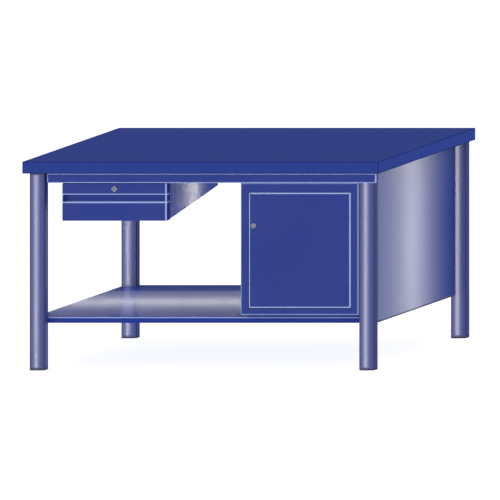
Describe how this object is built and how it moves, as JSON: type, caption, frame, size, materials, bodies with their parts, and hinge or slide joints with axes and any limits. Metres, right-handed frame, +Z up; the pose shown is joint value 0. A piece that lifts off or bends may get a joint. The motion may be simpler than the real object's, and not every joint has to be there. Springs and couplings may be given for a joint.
{
  "type": "workbench with drawers",
  "caption": "Steel workbench with a hung lockable drawer, a lockable hinged-door cupboard on a full-length lower shelf, and one closed end panel.",
  "frame": {"origin": "on the floor, under the middle of the worktop", "axes": "+X along the length towards the cupboard end, +Y from the front to the back, +Z up"},
  "size_m": [1.5, 0.75, 0.88],
  "materials": {
    "blue_powder_coat": "smooth blue powder coat on folded sheet steel, semi-gloss, lighter at the edges",
    "worktop_paint": "blue powder coat on the steel worktop skin, fine texture, light scuffs",
    "leg_paint": "blue powder coat on steel tube, glossy, with a pale sheen down the middle of each face",
    "board": "raw dense particle board",
    "foot_plastic": "black moulded plastic",
    "bush_plastic": "natural nylon",
    "zinc_plate": "bright zinc plated steel",
    "lock_metal": "satin grey die cast metal"
  },
  "bodies": {
    "bench": {"worktop_skin": "worktop_paint", "worktop_core": "board", "worktop_bolts": "zinc_plate", "leg_front_left": "leg_paint", "leg_front_right": "leg_paint", "leg_rear_left": "leg_paint", "leg_rear_right": "leg_paint", "foot_front_left": "foot_plastic", "foot_front_right": "foot_plastic", "foot_rear_left": "foot_plastic", "foot_rear_right": "foot_plastic", "front_rail": "blue_powder_coat", "rear_rail": "blue_powder_coat", "upper_side_rail_left": "blue_powder_coat", "upper_side_rail_right": "blue_powder_coat", "lower_side_rail_left": "blue_powder_coat", "lower_side_rail_right": "blue_powder_coat", "worktop_bearer_left": "blue_powder_coat", "worktop_bearer_middle": "blue_powder_coat", "worktop_bearer_right": "blue_powder_coat", "front_fascia": "blue_powder_coat", "shelf_tray": "blue_powder_coat", "shelf_stiffener": "blue_powder_coat", "end_panel": "blue_powder_coat", "cupboard_side_left": "blue_powder_coat", "cupboard_side_right": "blue_powder_coat", "cupboard_back": "blue_powder_coat", "cupboard_floor": "blue_powder_coat", "cupboard_roof": "blue_powder_coat", "cupboard_front_frame": "blue_powder_coat", "cupboard_plinth": "blue_powder_coat", "hinge_brackets": "zinc_plate", "hinge_pins": "zinc_plate", "door_lock_keeper": "zinc_plate", "drawer_housing_left": "blue_powder_coat", "drawer_housing_right": "blue_powder_coat", "drawer_housing_floor": "blue_powder_coat", "drawer_housing_back": "blue_powder_coat", "drawer_housing_roof": "blue_powder_coat", "runner_outer_left": "zinc_plate", "runner_outer_right": "zinc_plate"},
    "runner_middles": {"runner_middle_left": "zinc_plate", "runner_middle_right": "zinc_plate"},
    "drawer": {"drawer_front": "blue_powder_coat", "drawer_tray": "blue_powder_coat", "drawer_lock_barrel": "lock_metal", "drawer_lock_nut": "zinc_plate", "runner_inner_left": "zinc_plate", "runner_inner_right": "zinc_plate"},
    "drawer_lock": {"drawer_lock_plug": "lock_metal", "drawer_lock_cam": "zinc_plate"},
    "door": {"door_skin": "blue_powder_coat", "door_inner_pan": "blue_powder_coat", "hinge_bushes": "bush_plastic", "door_lock_barrel": "lock_metal", "door_lock_nut": "zinc_plate"},
    "door_lock": {"door_lock_plug": "lock_metal", "door_lock_cam": "zinc_plate"}
  },
  "joints": [
    {"name": "drawer_slide", "type": "slide", "parent": "bench", "child": "drawer", "axis": [0, -1, 0], "range_m": [0, 0.34]},
    {"name": "runner_slide", "type": "slide", "parent": "bench", "child": "runner_middles", "axis": [0, -1, 0], "range_m": [0, 0.17]},
    {"name": "drawer_lock_turn", "type": "hinge", "parent": "drawer", "child": "drawer_lock", "pos_m": [-0.366, -0.366, 0.763], "axis": [0, -1, 0], "range_deg": [0, 90]},
    {"name": "door_hinge", "type": "hinge", "parent": "bench", "child": "door", "pos_m": [0.615, -0.3605, 0.262], "axis": [0, 0, 1], "range_deg": [0, 110]},
    {"name": "door_lock_turn", "type": "hinge", "parent": "door", "child": "door_lock", "pos_m": [0.219, -0.366, 0.609], "axis": [0, 1, 0], "range_deg": [0, 90]}
  ],
  "couplings": [
    {"joint": "runner_slide", "follows": "drawer_slide", "ratio": 0.5}
  ]
}
